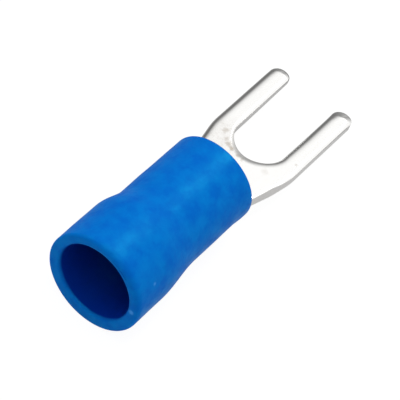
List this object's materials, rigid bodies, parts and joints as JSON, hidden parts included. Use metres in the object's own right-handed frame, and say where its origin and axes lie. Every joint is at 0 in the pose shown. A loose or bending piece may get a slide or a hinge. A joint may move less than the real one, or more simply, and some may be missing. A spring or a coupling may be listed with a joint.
{
  "type": "fork terminal",
  "caption": "Pre-insulated crimp fork terminal: flat tinned fork with a slot for an M3 stud, rolled wire barrel, and a blue vinyl sleeve with a wide mouth for the wire's insulation.",
  "frame": {"origin": "centre of the slot's round end, midway through the sheet, where the stud's axis passes", "axes": "+X along the terminal towards the open ends of the prongs, the wire leaves towards -X; +Z is the upper face of the fork, on the barrel's side"},
  "size_m": [0.0214, 0.006, 0.006],
  "materials": {
    "tinned_copper": "bright tin plating on stamped copper sheet, lightly tumbled",
    "blue_vinyl": "moulded blue vinyl with a soft satin sheen"
  },
  "bodies": {
    "root": {"fork_and_barrel": "tinned_copper", "insulating_sleeve": "blue_vinyl"}
  },
  "joints": []
}
